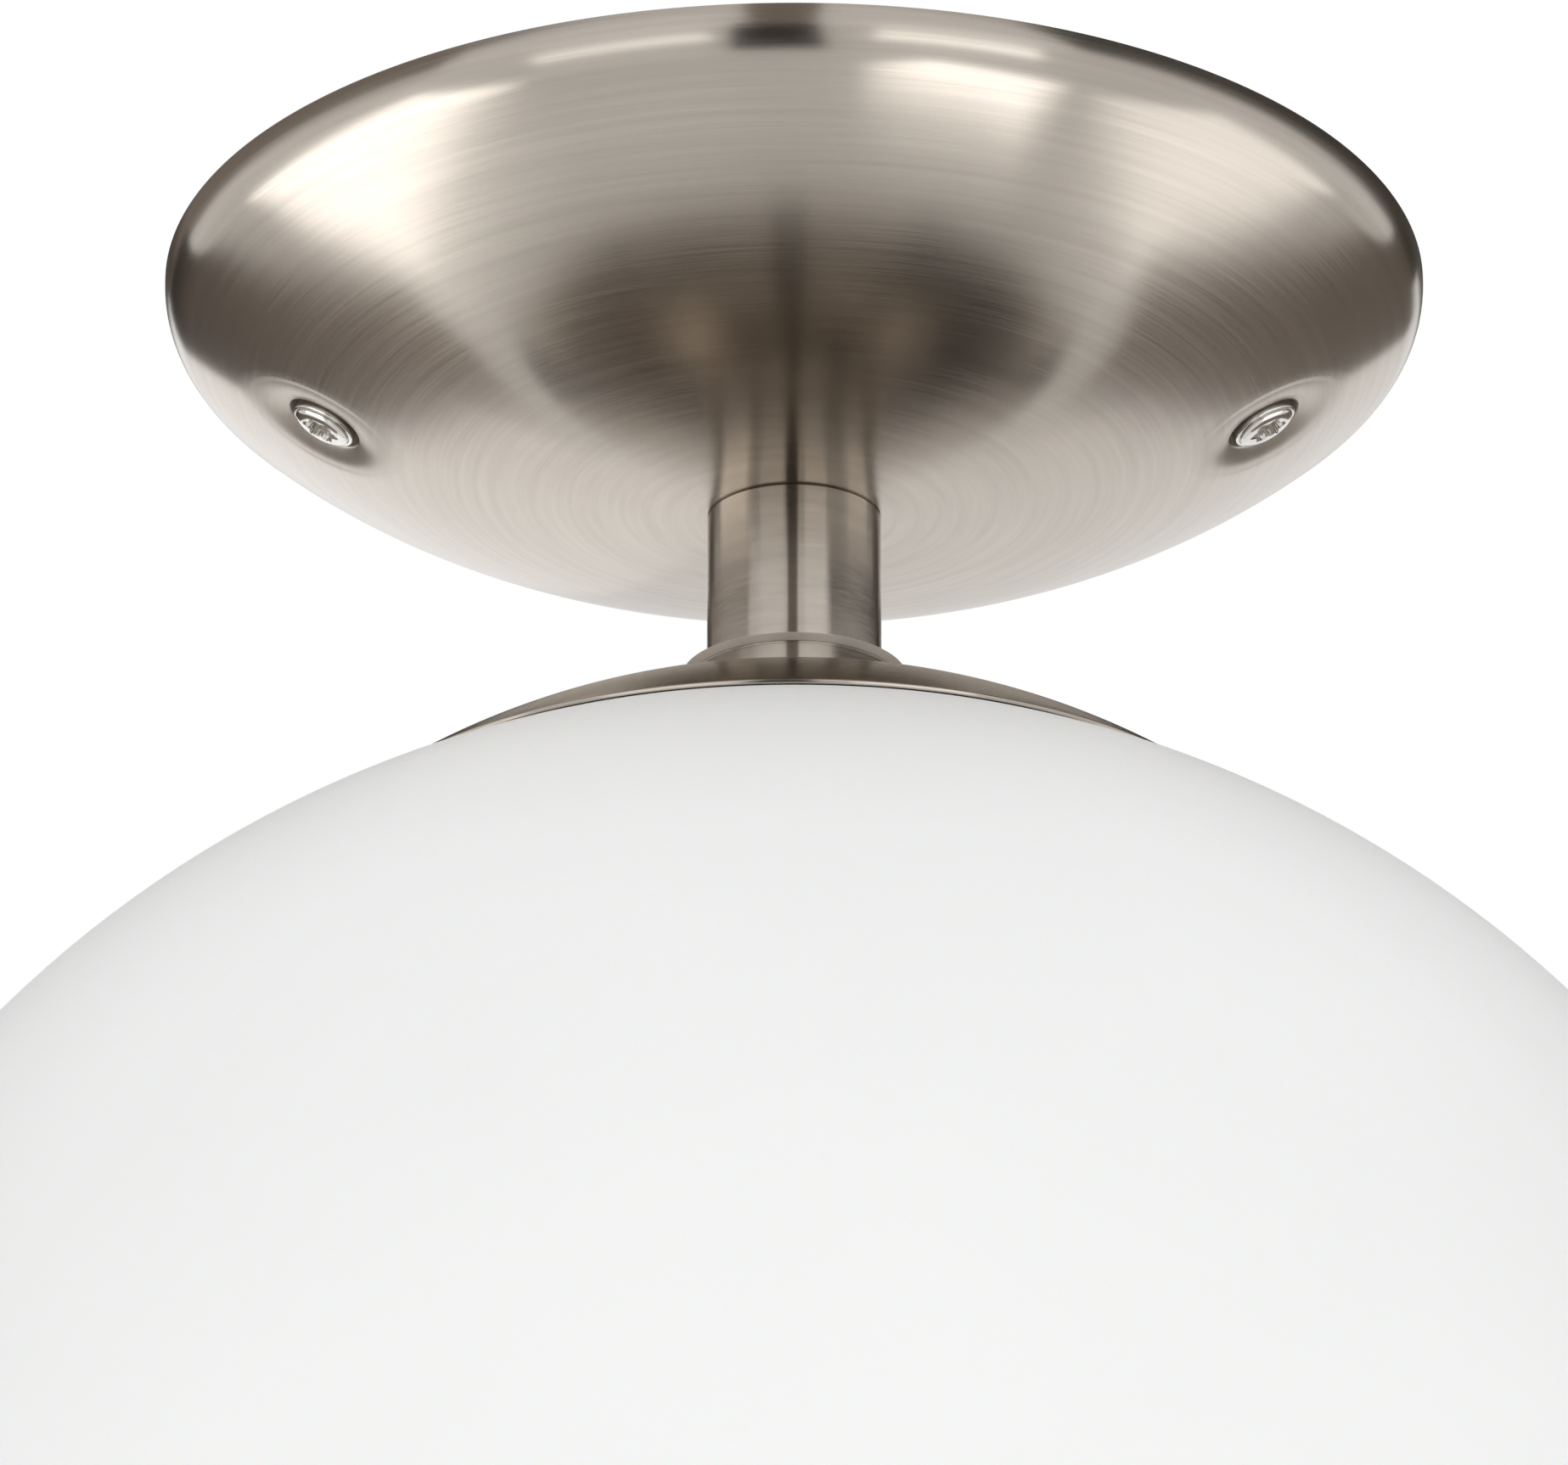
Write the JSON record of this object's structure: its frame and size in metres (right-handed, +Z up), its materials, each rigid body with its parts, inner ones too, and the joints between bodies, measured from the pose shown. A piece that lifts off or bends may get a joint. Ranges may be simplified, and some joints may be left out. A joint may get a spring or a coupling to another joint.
{
  "type": "semi-flush globe ceiling light",
  "caption": "Semi-flush ceiling light: dished brushed nickel canopy, short stem with a collar, domed cap and an opal glass globe that unscrews to reach the bulb.",
  "frame": {"origin": "middle of the canopy's back rim, on the ceiling plane", "axes": "+Z up into the ceiling along the light's middle line, +X through the right-hand canopy screw, -Y towards the viewer of the picture"},
  "size_m": [0.25, 0.2498, 0.3113],
  "materials": {
    "brushed_nickel": "brushed in rings",
    "screw_chrome": "polished",
    "zinc_steel": "satin",
    "brass": "satin",
    "aluminium": "satin",
    "white_plastic": "matt",
    "dark_plastic": "semi-gloss",
    "brown_sleeve": "satin",
    "blue_sleeve": "satin",
    "green_sleeve": "satin",
    "soft_ring": "matt",
    "opal_glass": "satin white",
    "bulb_glass": "white coated"
  },
  "bodies": {
    "fixture": {"canopy": "brushed_nickel", "ceiling_bracket": "zinc_steel", "terminal_block": "white_plastic", "terminal_inserts": "brass", "terminal_screws": "zinc_steel", "block_fixing_screws": "zinc_steel", "earth_tag": "brass", "earth_washer": "zinc_steel", "earth_screw": "brass", "wire_live": "brown_sleeve", "wire_neutral": "blue_sleeve", "wire_earth": "green_sleeve", "stem_tube": "brushed_nickel", "stem_rod": "zinc_steel", "rod_bush": "white_plastic", "upper_nut": "zinc_steel", "upper_washer": "zinc_steel", "stem_collar": "brushed_nickel", "glass_cap": "brushed_nickel", "gallery": "zinc_steel", "lower_washer": "zinc_steel", "lower_nut": "zinc_steel", "holder_dome": "dark_plastic", "holder_skirt": "dark_plastic", "holder_core": "white_plastic", "holder_shell": "brass", "holder_live_contact": "brass", "holder_side_contact": "brass", "holder_clamp_screws": "zinc_steel"},
    "right_washer": {"screw_washer_right": "screw_chrome"},
    "right_screw": {"canopy_screw_right": "screw_chrome"},
    "left_washer": {"screw_washer_left": "screw_chrome"},
    "left_screw": {"canopy_screw_left": "screw_chrome"},
    "soft_ring": {"globe_gasket": "soft_ring"},
    "globe": {"globe_ring": "aluminium", "globe_lock_ring": "aluminium", "globe_glass": "opal_glass"},
    "bulb_tip": {"bulb_contact": "zinc_steel", "bulb_insulator": "dark_plastic"},
    "bulb": {"bulb_cap": "aluminium", "bulb_glass": "bulb_glass"}
  },
  "joints": [
    {"name": "right_screw_travel", "type": "slide", "parent": "fixture", "child": "right_washer", "axis": [0.4683, 0, -0.8836], "range_m": [0, 0.007]},
    {"name": "right_screw_turn", "type": "hinge", "parent": "right_washer", "child": "right_screw", "pos_m": [0.05475, 0, -0.01439], "axis": [0.4683, 0, -0.8836], "range_deg": [0, 3600]},
    {"name": "left_screw_travel", "type": "slide", "parent": "fixture", "child": "left_washer", "axis": [-0.4683, 0, -0.8836], "range_m": [0, 0.007]},
    {"name": "left_screw_turn", "type": "hinge", "parent": "left_washer", "child": "left_screw", "pos_m": [-0.05475, 0, -0.01439], "axis": [-0.4683, 0, -0.8836], "range_deg": [0, 3600]},
    {"name": "globe_travel", "type": "slide", "parent": "fixture", "child": "soft_ring", "axis": [0, 0, -1], "range_m": [0, 0.014]},
    {"name": "globe_turn", "type": "hinge", "parent": "soft_ring", "child": "globe", "pos_m": [0, 0, -0.08], "axis": [0, 0, -1], "range_deg": [0, 1260]},
    {"name": "bulb_travel", "type": "slide", "parent": "fixture", "child": "bulb_tip", "axis": [0, 0, -1], "range_m": [0, 0.01451]},
    {"name": "bulb_turn", "type": "hinge", "parent": "bulb_tip", "child": "bulb", "pos_m": [0, 0, -0.1], "axis": [0, 0, -1], "range_deg": [0, 1440]}
  ],
  "couplings": [
    {"joint": "right_screw_turn", "follows": "right_screw_travel", "rad_per_m": 8976},
    {"joint": "left_screw_turn", "follows": "left_screw_travel", "rad_per_m": 8976},
    {"joint": "globe_turn", "follows": "globe_travel", "rad_per_m": 1570.8},
    {"joint": "bulb_turn", "follows": "bulb_travel", "rad_per_m": 1731.5}
  ]
}
